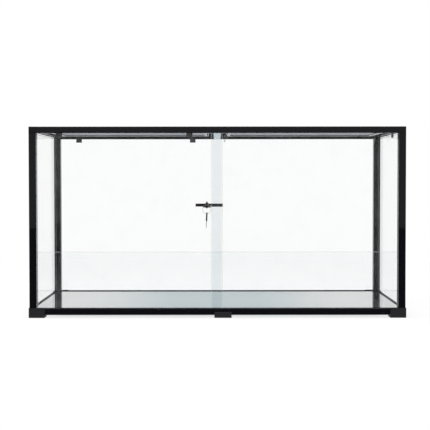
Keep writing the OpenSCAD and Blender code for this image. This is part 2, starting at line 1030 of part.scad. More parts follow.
// Spring clip in side view: X runs inwards from the screen's edge, Y up from
// its underside. The outer leg turns back up at the bottom as a free leg.
module clip_profile() {
  bend_r = 1.5 * clip_t + 0.4;
  bend_v = bend_r - clip_drop;
  translate([clip_in, -clip_t])
    square([clip_base, clip_t]);
  translate([clip_in, bend_v])
    square([clip_t, -bend_v]);
  difference() {
    translate([clip_in + bend_r, bend_v])
      circle(bend_r);
    translate([clip_in + bend_r, bend_v])
      circle(bend_r - clip_t);
    translate([clip_in, bend_v])
      square([2 * bend_r, 2 * bend_r]);
  }
  translate([clip_in + 2 * bend_r - clip_t, bend_v])
    square([clip_t, clip_drop / 2]);
}

// A pair of clips on the edge that faces -Y, and another pair opposite
module clip_set(width, depth)
  for (turn = [0, 180], side = [-1, 1])
    rotate(turn)
      translate([side * clip_offset - clip_w / 2, -depth / 2, 0])
        along_x(clip_w)
          clip_profile();

module left_screen_clips()
  color("#26262a")
    at_screen(false)
      clip_set(screen_w, screen_d);

module right_screen_clips()
  color("#26262a")
    at_screen(true)
      rotate(90)
        clip_set(screen_d, screen_w);

bottom_front_rail();
bottom_back_rail();
bottom_side_rail(false);  // bottom_left_rail
bottom_side_rail(true);  // bottom_right_rail
top_front_rail();
top_back_rail();
top_side_rail(false);  // top_left_rail
top_side_rail(true);  // top_right_rail
front_post(false);  // front_left_post
front_post(true);  // front_right_post
back_post(false);  // back_left_post
back_post(true);  // back_right_post
front_corner() bottom_connector(true);  // bottom_front_left_connector
front_corner(true) bottom_connector(true);  // bottom_front_right_connector
back_corner() bottom_connector(false);  // bottom_back_left_connector
back_corner(true) bottom_connector(false);  // bottom_back_right_connector
front_corner() top_connector(true);  // top_front_left_connector
front_corner(true) top_connector(true);  // top_front_right_connector
back_corner() top_connector(false);  // top_back_left_connector
back_corner(true) top_connector(false);  // top_back_right_connector
top_crossbar();
front_corner() corner_foot();  // front_left_foot
front_corner(true) corner_foot();  // front_right_foot
back_corner() corner_foot();  // back_left_foot
back_corner(true) corner_foot();  // back_right_foot
front_middle_foot();
back_middle_foot();
lower_door_track();
upper_door_track();
floor_glass();
back_glass();
side_glass(false);  // left_glass
side_glass(true);  // right_glass
substrate_barrier();
left_door_glass();
lock_bar();
right_door_glass();
lock_housing();
lock_bumper();
lock_plug();
key_blade();
key_head();
key_ring();
spare_key_blade();
spare_key_head();
screen_frame(false);  // left_screen_frame
screen_mesh(false);  // left_screen_mesh
screen_spline(false);  // left_screen_spline
left_screen_clips();
screen_frame(true);  // right_screen_frame
screen_mesh(true);  // right_screen_mesh
screen_spline(true);  // right_screen_spline
right_screen_clips();
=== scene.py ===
import json
import math

import bmesh
import bpy
from mathutils import Matrix, Vector

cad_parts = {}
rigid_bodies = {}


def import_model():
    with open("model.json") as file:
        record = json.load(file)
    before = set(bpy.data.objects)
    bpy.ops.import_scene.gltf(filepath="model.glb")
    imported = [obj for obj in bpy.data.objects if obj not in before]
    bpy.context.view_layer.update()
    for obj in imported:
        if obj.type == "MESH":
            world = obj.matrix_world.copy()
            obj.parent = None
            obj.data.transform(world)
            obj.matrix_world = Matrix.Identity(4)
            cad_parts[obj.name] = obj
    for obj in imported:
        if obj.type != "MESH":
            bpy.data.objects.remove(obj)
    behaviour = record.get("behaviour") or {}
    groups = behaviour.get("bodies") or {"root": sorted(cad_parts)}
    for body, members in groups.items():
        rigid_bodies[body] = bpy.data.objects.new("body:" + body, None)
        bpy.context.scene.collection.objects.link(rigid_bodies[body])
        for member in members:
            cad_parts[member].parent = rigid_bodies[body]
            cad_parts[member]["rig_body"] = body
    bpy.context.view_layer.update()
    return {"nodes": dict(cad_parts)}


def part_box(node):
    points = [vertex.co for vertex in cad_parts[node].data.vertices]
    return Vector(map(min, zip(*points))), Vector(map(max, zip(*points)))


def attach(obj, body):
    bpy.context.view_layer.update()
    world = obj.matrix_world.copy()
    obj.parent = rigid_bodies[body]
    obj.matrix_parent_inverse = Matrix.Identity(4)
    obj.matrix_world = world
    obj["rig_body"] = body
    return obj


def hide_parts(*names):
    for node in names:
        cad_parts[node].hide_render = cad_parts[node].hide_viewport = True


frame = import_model()
nodes = frame["nodes"]
scene = bpy.context.scene


# ---------------------------------------------------------------- studio
# A white sweep under an overhead softbox and a fill at the front, with the tank's
# soft shadow on it. Gloss sees the room and ground in front and beside dark, up to
# about 30 degrees above the horizon, and the middle of the backdrop grey.
def wired(tree, kind, settings=(), **sockets):
    """A node with its properties set, and each named input given a value or a link. An
    input is named in its own words, with _ for a space, or by its number, such as i0."""
    node = tree.nodes.new(kind)
    for key, value in dict(settings).items():
        setattr(node, key, value)
    for key, value in sockets.items():
        socket = node.inputs[int(key[1:]) if key[1:].isdigit() else key.replace("_", " ")]
        if isinstance(value, bpy.types.NodeSocket):
            tree.links.new(value, socket)
        else:
            socket.default_value = value
    return node


def maths(tree, operation, first, second=0.0):
    """The output of a Math node."""
    node = wired(tree, "ShaderNodeMath", {"operation": operation}, i0=first, i1=second)
    return node.outputs["Value"]


def product(tree, first, *others):
    """Two or more factors multiplied in turn."""
    for other in others:
        first = maths(tree, "MULTIPLY", first, other)
    return first


def ramped(tree, value, low, high, start, end):
    """A value taken smoothly from start to end while the input goes from low to high."""
    node = wired(
        tree, "ShaderNodeMapRange", {"interpolation_type": "SMOOTHSTEP"},
        Value=value, From_Min=low, From_Max=high, To_Min=start, To_Max=end,
    )
    return node.outputs["Result"]


def blended(tree, share, first, second):
    """A colour between two, where share is the second one's."""
    node = wired(tree, "ShaderNodeMix", {"data_type": "RGBA"}, i0=share, i6=first, i7=second)
    return node.outputs[2]


def surface(tree, kind, **sockets):
    """The output of a plain shader, such as Diffuse."""
    return wired(tree, "ShaderNodeBsdf" + kind, **sockets).outputs["BSDF"]


def layered(tree, share, under, over):
    """One shader over another, where share is the upper one's."""
    return wired(tree, "ShaderNodeMixShader", Fac=share, i1=under, i2=over).outputs["Shader"]


def ray_kinds(tree):
    """Two factors: 1 for the camera's own rays, and 1 for those of gloss and clear glass."""
    path = tree.nodes.new("ShaderNodeLightPath")
    mirrored = maths(tree, "MAXIMUM", path.outputs["Is Glossy Ray"], path.outputs["Is Transmission Ray"])
    return path.outputs["Is Camera Ray"], mirrored


WHITE = (1.0, 1.0, 1.0, 1.0)
ROOM_LIGHT = 0.85  # brightness of the room on matt surfaces
ROOM_DARK = 0.30  # brightness of the room in front of the tank, as gloss sees it
ROOM_FADE_Y = (-0.3, 0.2)  # Y of the directions over which that dark room fades to the back
ROOM_FADE_Z = (0.35, 0.6)  # Z of the directions over which it fades upwards
BACKDROP_GREY = (0.75, 0.83, 0.86, 1.0)  # middle of the backdrop behind the tank, as gloss sees it
BACKDROP_FROM = 0.9  # Y of a direction, from which it meets the backdrop
BACKDROP_FADE_X = (0.03, 0.11)  # X of the directions over which the grey fades to white

world = bpy.data.worlds.new("studio")
scene.world = world
world.use_nodes = True
sky = world.node_tree
sky.nodes.clear()
generated = sky.nodes.new("ShaderNodeTexCoord").outputs["Generated"]
direction = wired(sky, "ShaderNodeSeparateXYZ", Vector=generated).outputs
near = ramped(sky, direction["Y"], *ROOM_FADE_Y, 1.0, 0.0)
low = ramped(sky, direction["Z"], *ROOM_FADE_Z, 1.0, 0.0)
mirrored_room = maths(sky, "SUBTRACT", 1.0, product(sky, near, low, 1.0 - ROOM_DARK))
seen, mirrored = ray_kinds(sky)
room = wired(sky, "ShaderNodeMix", Factor=mirrored, A=ROOM_LIGHT, B=mirrored_room)
room = wired(sky, "ShaderNodeMix", Factor=seen, A=room.outputs["Result"], B=1.0)
central = ramped(sky, maths(sky, "ABSOLUTE", direction["X"]), *BACKDROP_FADE_X, 1.0, 0.0)
behind = product(sky, maths(sky, "GREATER_THAN", direction["Y"], BACKDROP_FROM), central, mirrored)
tone = blended(sky, behind, WHITE, BACKDROP_GREY)
glow = wired(sky, "ShaderNodeBackground", Strength=room.outputs["Result"], Color=tone)
wired(sky, "ShaderNodeOutputWorld", Surface=glow.outputs["Background"])

FLOOR_SIZE = 14.0
PAPER = (0.8, 0.8, 0.8, 1.0)  # the floor as matt surfaces meet it
FLOOR_SHADE = 0.25  # share of the floor's brightness near the tank that comes from the lamps
FLOOR_FADE = (1.0, 2.6)  # distances from the tank's middle over which that share goes to none
UNDER_SHADE = 0.45  # the same share right under the tank
UNDER_FADE_X = (0.50, 0.60)  # where it ends to the sides
UNDER_FADE_Y = (0.20, 0.30)  # where it ends to the front and back
GROUND_DARK = 0.05  # brightness of the ground in front of the tank and beside it, as gloss sees it
FRONT_FADE_Y = (-0.34, -0.30)  # where the dark ground in front ends
SIDE_FADE_X = (0.62, 0.66)  # where the dark ground beside the tank begins
SIDE_FADE_Y = (0.1, 0.3)  # where it ends to the back

paving = bmesh.new()
bmesh.ops.create_grid(paving, x_segments=1, y_segments=1, size=FLOOR_SIZE / 2)
floor = bpy.data.objects.new("floor", bpy.data.meshes.new("floor"))
paving.to_mesh(floor.data)
paving.free()
scene.collection.objects.link(floor)
paper = bpy.data.materials.new("white_sweep")
paper.use_nodes = True
tree = paper.node_tree
tree.nodes.clear()
point = tree.nodes.new("ShaderNodeTexCoord").outputs["Object"]
spot = wired(tree, "ShaderNodeSeparateXYZ", Vector=point).outputs
aside = maths(tree, "ABSOLUTE", spot["X"])
in_front = ramped(tree, spot["Y"], *FRONT_FADE_Y, 1.0, 0.0)
beside = ramped(tree, aside, *SIDE_FADE_X, 0.0, 1.0)
beside = product(tree, beside, ramped(tree, spot["Y"], *SIDE_FADE_Y, 1.0, 0.0))
darker = product(tree, maths(tree, "MAXIMUM", in_front, beside), 1.0 - GROUND_DARK)
seen, mirrored = ray_kinds(tree)
shown = wired(tree, "ShaderNodeMix", Factor=mirrored, A=1.0, B=maths(tree, "SUBTRACT", 1.0, darker))
reach = wired(tree, "ShaderNodeVectorMath", {"operation": "LENGTH"}, i0=point)
shade = ramped(tree, reach.outputs["Value"], *FLOOR_FADE, FLOOR_SHADE, 0.0)
under_x = ramped(tree, aside, *UNDER_FADE_X, 1.0, 0.0)
under_y = ramped(tree, maths(tree, "ABSOLUTE", spot["Y"]), *UNDER_FADE_Y, 1.0, 0.0)
shade = maths(tree, "MAXIMUM", shade, product(tree, under_x, under_y, UNDER_SHADE))
lit_paper = surface(tree, "Diffuse", Color=PAPER)
lit_white = surface(tree, "Diffuse", Color=shown.outputs["Result"])
even_white = wired(tree, "ShaderNodeEmission", Strength=shown.outputs["Result"]).outputs["Emission"]
backdrop = layered(tree, shade, even_white, lit_white)
sweep = layered(tree, maths(tree, "MAXIMUM", seen, mirrored), lit_paper, backdrop)
wired(tree, "ShaderNodeOutputMaterial", Surface=sweep)
floor.data.materials.append(paper)


def softbox(name, place, aim, width, height, power):
    """A rectangular area lamp that faces a point."""
    lamp = bpy.data.lights.new(name, "AREA")
    lamp.shape = "RECTANGLE"
    lamp.size, lamp.size_y, lamp.energy = width, height, power
    holder = bpy.data.objects.new(name, lamp)
    holder.location = place
    holder.visible_camera = False
    towards = Vector(aim) - holder.location
    holder.rotation_euler = towards.to_track_quat("-Z", "Y").to_euler()
    scene.collection.objects.link(holder)


TANK_MIDDLE = (0.0, 0.0, 0.3)
softbox("overhead", place=(-0.5, -0.6, 3.2), aim=TANK_MIDDLE, width=3.2, height=2.4, power=45.0)
softbox("front_fill", place=(1.4, -4.6, 2.6), aim=TANK_MIDDLE, width=2.4, height=1.6, power=16.0)

SENSOR_WIDTH = 36.0  # mm
FOCAL_LENGTH = 95.902  # mm; fitted to the photograph, as are the eye and the three angles
EYE = (-0.00505, -3.97994, 0.45076)
YAW, PITCH, ROLL = 0.041, -1.818, 0.042  # degrees
camera = bpy.data.objects.new("camera", bpy.data.cameras.new("camera"))
camera.data.sensor_width = SENSOR_WIDTH
camera.data.lens = FOCAL_LENGTH
camera.data.clip_start, camera.data.clip_end = 0.1, 100.0
camera.matrix_world = (
    Matrix.Translation(EYE)
    @ Matrix.Rotation(math.radians(YAW), 4, "Z")
    @ Matrix.Rotation(math.radians(PITCH), 4, "X")
    @ Matrix.Rotation(math.radians(ROLL), 4, "Y")
    @ Matrix.Rotation(math.radians(90), 4, "X")
)
scene.collection.objects.link(camera)
scene.camera = camera
scene.view_settings.view_transform = "Standard"
scene.cycles.transparent_max_bounces = 24  # panes stand up to five deep


# ---------------------------------------------------------------- rails, posts, crossbar
# Extruded aluminium bars with a satin black powder coat over faint die lines, sawn
# to length and pushed onto the corner connectors. A dark matt strip of painted shade
# lies on the crossbar's two ledges, where the screens' edges rest.
COAT_ROUGHNESS = 0.02  # of the clear top coat
SLOWER = 40  # how much wider the slow changes of tone are than the grain
GLOSS_SPAN = (0.3, 0.7)  # values of the slow change over which the gloss goes from high to low
FLECK_SPAN = (0.62, 0.7)  # values of the grain over which a pale fleck comes up
FLECK_GAIN, FLECK_LIFT = 2.5, 0.02  # a fleck's colour, from the piece's own


def finish(name, colour, roughness, relief, scale, stretch=(1, 1, 1), drift=0.12,
           uneven=0.05, metallic=0.0, specular=0.5, coat=0.0, speck=0.0):
    """A surface with a fine grain, whose tone and gloss wander slowly by drift and uneven.
    relief is the grain's depth in metres and scale its fineness, and a stretch below 1
    draws it out along that axis. speck is how strongly pale flecks show."""
    material = bpy.data.materials.new(name)
    material.use_nodes = True
    tree = material.node_tree
    shader = tree.nodes["Principled BSDF"]
    shader.inputs["Metallic"].default_value = metallic
    shader.inputs["Specular IOR Level"].default_value = specular
    shader.inputs["Coat Weight"].default_value = coat
    shader.inputs["Coat Roughness"].default_value = COAT_ROUGHNESS
    place = tree.nodes.new("ShaderNodeTexCoord").outputs["Object"]
    along = wired(tree, "ShaderNodeMapping", Vector=place, Scale=stretch).outputs["Vector"]
    fine = wired(tree, "ShaderNodeTexNoise", Vector=along, Scale=scale, Detail=3.0)
    slow = wired(tree, "ShaderNodeTexNoise", Vector=along, Scale=scale / SLOWER, Detail=2.0)
    light = [min(1.0, channel * (1 + drift)) for channel in colour] + [1.0]
    deep = [channel * (1 - drift) for channel in colour] + [1.0]
    shown = blended(tree, slow.outputs["Fac"], deep, light)
    if speck:
        flecks = ramped(tree, fine.outputs["Fac"], *FLECK_SPAN, 0.0, speck)
        pale = [min(1.0, channel * FLECK_GAIN + FLECK_LIFT) for channel in colour] + [1.0]
        shown = blended(tree, flecks, shown, pale)
    tree.links.new(shown, shader.inputs["Base Color"])
    gloss = ramped(tree, slow.outputs["Fac"], *GLOSS_SPAN, roughness - uneven, roughness + uneven)
    tree.links.new(gloss, shader.inputs["Roughness"])
    bump = wired(tree, "ShaderNodeBump", Height=fine.outputs["Fac"], Strength=1.0, Distance=relief)
    tree.links.new(bump.outputs["Normal"], shader.inputs["Normal"])
    return material


def dress(material, *names):
    """Gives CAD nodes their material."""
    for name in names:
        node = nodes[name]
        if not node.material_slots:
            node.data.materials.append(None)
        for holder in node.material_slots:
            holder.material = material


BLACK_COAT = (0.0034, 0.0031, 0.0052)
ALONG_X, ALONG_Y, ALONG_Z = (0.02, 1, 1), (1, 0.02, 1), (1, 1, 0.02)  # ways that die lines run


def wear_lines(name, stretch, coat=1.0):
    """The black coat over die lines that run one way. coat is how much of its clear top shows."""
    return finish(name, BLACK_COAT, roughness=0.5, relief=0.000004, scale=900.0, stretch=stretch,
                  uneven=0.04, specular=0.0, coat=coat)


dress(wear_lines("black_coat_across", ALONG_X),
      "bottom_front_rail", "bottom_back_rail", "top_front_rail", "top_back_rail")
dress(wear_lines("black_coat_deep", ALONG_Y), "top_left_rail", "top_right_rail")
dress(wear_lines("black_coat_low", ALONG_Y, coat=0.3), "bottom_left_rail", "bottom_right_rail")
dress(wear_lines("black_coat_upright", ALONG_Z),
      "front_left_post", "front_right_post", "back_left_post", "back_right_post")


def lined(material, mask, colour, relief):
    """Covers part of a surface with a thin matt strip. mask(tree, place) gives 1 under it."""
    tree = material.node_tree
    end = tree.nodes["Material Output"].inputs["Surface"]
    point = tree.nodes.new("ShaderNodeTexCoord").outputs["Object"]
    place = wired(tree, "ShaderNodeSeparateXYZ", Vector=point)
    strip_grain = wired(tree, "ShaderNodeTexNoise", Vector=point, Scale=2500.0)
    strip_bumps = wired(tree, "ShaderNodeBump", Height=strip_grain.outputs["Fac"], Strength=1.0, Distance=relief)
    strip = surface(tree, "Diffuse", Color=(*colour, 1.0), Normal=strip_bumps.outputs["Normal"])
    both = layered(tree, mask(tree, place.outputs), end.links[0].from_socket, strip)
    tree.links.new(both, end)
    return material


# Painted shade: a dark matt strip without the coat, laid where the crossbar's ledges and the screens' rims
# lie in shade.
PAINTED_SHADE_STRIP = (0.018, 0.018, 0.02)
SHADE_STRIP_RELIEF = 0.0003  # how deep its bumps are
CROSSBAR_HALF = 0.012  # half the width of the crossbar's middle part, between its ledges
LEDGE_GAP = 0.0003  # between that middle part and the dark strip


def on_ledges(tree, place):
    """The crossbar's two ledges, where the screens' edges lie."""
    return maths(tree, "GREATER_THAN", maths(tree, "ABSOLUTE", place["X"]), CROSSBAR_HALF + LEDGE_GAP)


# The dark matt strip on the ledges is painted shade.
dress(lined(wear_lines("black_coat_crossbar", ALONG_Y), on_ledges, PAINTED_SHADE_STRIP, SHADE_STRIP_RELIEF), "top_crossbar")


# ---------------------------------------------------------------- corner connectors
# Injection moulded nylon cubes with three plug legs, driven into the bars'
# chambers. The nylon is a shade lighter than the coat and has a fine grain.
SAME_CORNER = 1e-6  # m, within which corners of the CAD's triangles are one
FLAT = math.radians(0.5)  # faces that meet at less than this become one
SHARP = math.radians(40)  # edges that turn by more than this are rounded
SAME_ROUNDING = 0.000005  # m, within which corners of the rounding are one


def softened(node, name, material, radius, segments=2, slide=True):
    """A copy of a CAD node with its sharp edges rounded, standing for it. slide lets the
    rounding's corners run along flat edges, which folds a face that has a hole near its rim."""
    shape = bmesh.new()
    shape.from_mesh(nodes[node].data)
    bmesh.ops.remove_doubles(shape, verts=shape.verts, dist=SAME_CORNER)
    bmesh.ops.dissolve_limit(shape, angle_limit=FLAT, verts=shape.verts, edges=shape.edges)
    rough = bpy.data.objects.new(name + "_rough", bpy.data.meshes.new(name + "_rough"))
    shape.to_mesh(rough.data)
    shape.free()
    scene.collection.objects.link(rough)
    rounding = rough.modifiers.new("rounding", "BEVEL")
    rounding.width, rounding.segments = radius, segments
    rounding.limit_method, rounding.angle_limit = "ANGLE", SHARP
    rounding.loop_slide = slide
    rough.modifiers.new("joined", "WELD").merge_threshold = SAME_ROUNDING
    rough.modifiers.new("flat_faces", "WEIGHTED_NORMAL")
    graph = bpy.context.evaluated_depsgraph_get()
    piece = bpy.data.objects.new(name, bpy.data.meshes.new_from_object(rough.evaluated_get(graph)))
    bpy.data.objects.remove(rough)
    scene.collection.objects.link(piece)
    piece.data.materials.clear()
    piece.data.materials.append(material)
    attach(piece, nodes[node]["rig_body"])
    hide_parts(node)
    return piece


CONNECTOR_EDGE = 0.0005  # radius of its rounded edges
nylon = finish("corner_nylon", (0.0065, 0.0063, 0.0078), roughness=0.4, relief=0.00006,
               scale=1400.0, specular=0.3)
for level in ("top", "bottom"):
    for corner in ("front_left", "front_right", "back_left", "back_right"):
        node = f"{level}_{corner}_connector"
        softened(node, node + "_moulding", nylon, CONNECTOR_EDGE)


# ---------------------------------------------------------------- feet
# Moulded shoes that wrap the bottom corners, and a pad under the middle of
# the front and back rails. Matt plastic with a coarse spark-eroded grain.
FOOT_EDGE = 0.0006  # radius of its rounded edges
foot_plastic = finish("foot_plastic", (0.015, 0.015, 0.018), roughness=0.62, relief=0.00012,
                      scale=1100.0, specular=0.2, speck=0.3)
for place in ("front_left", "front_right", "back_left", "back_right", "front_middle", "back_middle"):
    node = place + "_foot"
    softened(node, node + "_moulding", foot_plastic, FOOT_EDGE)


# ---------------------------------------------------------------- door tracks
# Extruded plastic double channels pressed into the front rails. The doors
# run in them, so their walls are polished along the way of travel.
track_plastic = finish("track_plastic", (0.012, 0.012, 0.0135), roughness=0.36, relief=0.00002,
                       scale=1200.0, stretch=(0.01, 1, 1), specular=0.4)
dress(track_plastic, "lower_door_track", "upper_door_track")


# ---------------------------------------------------------------- panes
# Float glass held in the bars' slots, 4 mm thick and 5 mm for the floor, whose dark tint is
# painted shade from under the tank. Its cut edges are green, with a pale ground arris, partly
# a painted highlight, on those that stay bare. The inner door has a film where the doors
# overlap, and both doors a pale matt strip of painted reflection inside the posts' pockets.
GLASS_INDEX = 1.45
CLEAR_TINT = (0.998, 1.0, 1.0)
DOOR_TINT = (0.994, 0.996, 0.997)
BARRIER_TINT = (0.96, 0.972, 0.975)
# Painted shade: the floor pane's dark tint stands for the shade under the tank.
UNDER_TANK_SHADE_TINT = (0.3, 0.36, 0.37)
THIN_IN_X, THIN_IN_Y, THIN_IN_Z = (1, 0, 0), (0, 1, 0), (0, 0, 1)
FACE_FROM = 0.95  # a pane's faces point at least this much along its thin axis
ARRIS_FROM = 0.3  # and its arrises at least this much
EDGE_DEPTH = (0.45, 0.66, 0.6, 1.0)  # colour of light through a cut edge
EDGE_GROUND = (0.5, 0.66, 0.62, 1.0)  # colour of its matt surface
EDGE_MATT = 0.45  # share of a cut edge that is matt
# The ground arris's own pale colour, lightened into a painted highlight of the bright line along the edge.
ARRIS_PALE_AND_HIGHLIGHT = (0.86, 0.93, 0.91, 1.0)
ARRIS_MATT = 0.5  # share of an arris that is matt
DUST = 0.01  # share of a pane's face that fine dust makes matt
LESS_DUST = 0.3 * DUST
DUST_COLOUR = (0.9, 0.9, 0.9, 1.0)
SMEAR_SPAN = (0.4, 0.9)  # values of the noise over which dust thickens to a smear
SMEAR_DUST = 3  # times the dust in a smear
RIPPLE = 0.00002  # depth of the glass's slow waves
FILM_TINT = (0.84, 0.87, 0.885, 1.0)
FILM_INSET = 0.0025  # the film stops short of both doors' edges
PAINTED_SHEEN_SHARE = 0.85  # share of the face that the pale matt strip of painted reflection covers
PAINTED_SHEEN_FADE = 0.0005  # width of that strip's edge


def cut_edge(tree, mirror, gloss, seamed=None):
    """A pane's cut edge, with a pale arris, partly a painted highlight, where the factor seamed is 1."""
    deep = surface(tree, "Transparent", Color=EDGE_DEPTH)
    ground = surface(tree, "Diffuse", Color=EDGE_GROUND)
    edge = layered(tree, mirror, layered(tree, EDGE_MATT, deep, ground), gloss)
    if seamed is None:
        return edge
    pale = surface(tree, "Diffuse", Color=ARRIS_PALE_AND_HIGHLIGHT)
    return layered(tree, seamed, edge, layered(tree, ARRIS_MATT, deep, pale))


def pane_glass(name, tint, thin_axis, shine, arris=False, film=None, sheen_from=None, dust=DUST):
    """Clear glass. The face that a ray enters mirrors for both faces, as in a thin pane,
    and colours for the whole thickness. shine is the share of the full mirror image, film
    the span of X that a film covers, and sheen_from how far out the pale matt strips of
    painted reflection begin."""
    material = bpy.data.materials.new(name)
    material.use_nodes = True
    tree = material.node_tree
    tree.nodes.clear()
    met = tree.nodes.new("ShaderNodeNewGeometry")
    facing = wired(tree, "ShaderNodeVectorMath", {"operation": "DOT_PRODUCT"},
                   i0=met.outputs["True Normal"], i1=thin_axis)
    facing = maths(tree, "ABSOLUTE", facing.outputs["Value"])
    single = wired(tree, "ShaderNodeFresnel", IOR=GLASS_INDEX).outputs["Fac"]
    both = maths(tree, "DIVIDE", maths(tree, "MULTIPLY", single, 2.0), maths(tree, "ADD", single, 1.0))
    entering = maths(tree, "SUBTRACT", 1.0, met.outputs["Backfacing"])
    mirror = product(tree, both, shine, entering)
    place = tree.nodes.new("ShaderNodeTexCoord").outputs["Object"]
    waves = wired(tree, "ShaderNodeTexNoise", Vector=place, Scale=3.0, Detail=1.0)
    ripple = wired(tree, "ShaderNodeBump", Height=waves.outputs["Fac"], Strength=1.0, Distance=RIPPLE)
    gloss = surface(tree, "Glossy", Roughness=0.0, Normal=ripple.outputs["Normal"])
    smears = wired(tree, "ShaderNodeTexNoise", Vector=place, Scale=14.0, Detail=5.0)
    haze = ramped(tree, smears.outputs["Fac"], *SMEAR_SPAN, dust, SMEAR_DUST * dust)
    across = wired(tree, "ShaderNodeSeparateXYZ", Vector=place).outputs["X"]
    # Painted reflection: a pale matt strip inside the posts' pockets.
    if sheen_from:
        out = maths(tree, "ABSOLUTE", across)
        strip = ramped(tree, out, sheen_from, sheen_from + PAINTED_SHEEN_FADE, 0.0, PAINTED_SHEEN_SHARE)
        haze = maths(tree, "MAXIMUM", haze, strip)
    passed = blended(tree, entering, WHITE, (*tint, 1.0))
    if film:
        past_start = maths(tree, "GREATER_THAN", across, film[0])
        before_end = maths(tree, "LESS_THAN", across, film[1])
        passed = blended(tree, product(tree, past_start, entering, before_end), passed, FILM_TINT)
    clear = surface(tree, "Transparent", Color=passed)
    dusty = surface(tree, "Diffuse", Color=DUST_COLOUR)
    face = layered(tree, mirror, layered(tree, haze, clear, dusty), gloss)
    seamed = maths(tree, "GREATER_THAN", facing, ARRIS_FROM) if arris else None
    edge = cut_edge(tree, mirror, gloss, seamed)
    whole = layered(tree, maths(tree, "GREATER_THAN", facing, FACE_FROM), edge, face)
    wired(tree, "ShaderNodeOutputMaterial", Surface=whole)
    return material


film_span = (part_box("right_door_glass")[0].x + FILM_INSET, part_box("left_door_glass")[1].x - FILM_INSET)
pocket = -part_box("bottom_front_rail")[0].x  # where the doors enter the posts
dress(pane_glass("back_pane_glass", CLEAR_TINT, THIN_IN_Y, shine=0.1), "back_glass")
dress(pane_glass("side_pane_glass", CLEAR_TINT, THIN_IN_X, shine=0.3), "left_glass", "right_glass")
dress(pane_glass("floor_pane_glass", UNDER_TANK_SHADE_TINT, THIN_IN_Z, shine=1.3, dust=LESS_DUST), "floor_glass")
inner_glass = pane_glass("inner_door_glass", DOOR_TINT, THIN_IN_Y, shine=0.15, arris=True,
                         film=film_span, sheen_from=pocket)
outer_glass = pane_glass("outer_door_glass", DOOR_TINT, THIN_IN_Y, shine=0.15, arris=True,
                         sheen_from=pocket)
barrier_glass = pane_glass("barrier_pane_glass", BARRIER_TINT, THIN_IN_Y, shine=0.3, arris=True,
                           dust=LESS_DUST)
ARRIS_WIDTH = 0.0008
for node, name, glass in (("substrate_barrier", "barrier_pane", barrier_glass),
                          ("left_door_glass", "inner_door_pane", inner_glass),
                          ("right_door_glass", "outer_door_pane", outer_glass)):
    softened(node, name, glass, ARRIS_WIDTH, segments=1)


# ---------------------------------------------------------------- screens
# Two lift-out tops: a moulded frame with a dark matt strip of painted shade under its rim
# and a pale inner lip, its paleness a painted reflection, woven galvanised wire laid on that
# lip, a rubber spline pressed in over the wire, and four spring clips.
SHADE_STRIP_WIDTH = 0.017
# Painted reflection: the lip's pale colour stands for the white that its underside mirrors at a grazing
# view.
LIP_PAINTED_SHEEN = (0.78, 0.79, 0.8)
LIP_GRAIN = 0.00002
UNDERSIDE = 0.0005  # m above a frame's lowest point, up to which a place is on its underside
FAR_OFF = 0.1  # m, further from the frame's edge than any place on its underside


def from_edge(tree, place):
    """How far a place on a screen's underside is from the screen's edge; far off elsewhere."""
    low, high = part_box("right_screen_frame")
    half, centre = (high - low) / 2, (high + low) / 2
    aside = maths(tree, "SUBTRACT", maths(tree, "ABSOLUTE", place["X"]), centre.x)
    ahead = maths(tree, "SUBTRACT", place["Y"], centre.y)
    in_x = maths(tree, "SUBTRACT", half.x, maths(tree, "ABSOLUTE", aside))
    in_y = maths(tree, "SUBTRACT", half.y, maths(tree, "ABSOLUTE", ahead))
    above = maths(tree, "GREATER_THAN", place["Z"], low.z + UNDERSIDE)
    return maths(tree, "ADD", maths(tree, "MINIMUM", in_x, in_y), above)


def under_rim(tree, place):
    """The outer strip, which lies on the rails' ledges."""
    return maths(tree, "LESS_THAN", from_edge(tree, place), SHADE_STRIP_WIDTH)


def under_lip(tree, place):
    """The inner strip, below the edge of the wire cloth."""
    inwards = from_edge(tree, place)
    past_felt = maths(tree, "GREATER_THAN", inwards, SHADE_STRIP_WIDTH)
    return product(tree, past_felt, maths(tree, "LESS_THAN", inwards, FAR_OFF))


screen_plastic = finish("screen_plastic", (0.012, 0.012, 0.0138), roughness=0.46, relief=0.00001,
                        scale=1300.0, specular=0.0, coat=1.0)
# A dark matt strip of painted shade under the rim.
lined(screen_plastic, under_rim, PAINTED_SHADE_STRIP, SHADE_STRIP_RELIEF)
# A pale matt strip of painted reflection under the lip.
lined(screen_plastic, under_lip, LIP_PAINTED_SHEEN, LIP_GRAIN)
clip_plastic = finish("clip_plastic", (0.045, 0.045, 0.05), roughness=0.4, relief=0.00003,
                      scale=1500.0, specular=0.5)
spline_rubber = finish("spline_rubber", (0.01, 0.01, 0.01), roughness=0.7, relief=0.0002,
                       scale=700.0, specular=0.2)
wire_metal = finish("galvanised_wire", (0.42, 0.44, 0.48), roughness=0.4, relief=0.00001,
                    scale=2500.0, metallic=0.85, drift=0.2, uneven=0.1)


def recipe(name, **inputs):
    """A new geometry node tree with named inputs, and those inputs' sockets."""
    tree = bpy.data.node_groups.new(name, "GeometryNodeTree")
    for label, kind in inputs.items():
        tree.interface.new_socket(label, in_out="INPUT", socket_type="NodeSocket" + kind)
    tree.interface.new_socket("Geometry", in_out="OUTPUT", socket_type="NodeSocketGeometry")
    return tree, tree.nodes.new("NodeGroupInput").outputs


def completed(tree, geometry, material):
    """Ends a recipe: its instances are made real and get their material."""
    real = wired(tree, "GeometryNodeRealizeInstances", Geometry=geometry)
    coated = wired(tree, "GeometryNodeSetMaterial", Geometry=real.outputs["Geometry"], Material=material)
    wired(tree, "NodeGroupOutput", Geometry=coated.outputs["Geometry"])


WIRE = 0.0004  # its diameter
WIRE_PITCH = 0.003
WIRE_SIDES = 6
QUARTER_TURN = math.pi / 2
weave, cloth_size = recipe("woven_wire", Pitch="Float", Wire="Float", Width="Float", Depth="Float",
                           Middle="Vector", Finish="Material")


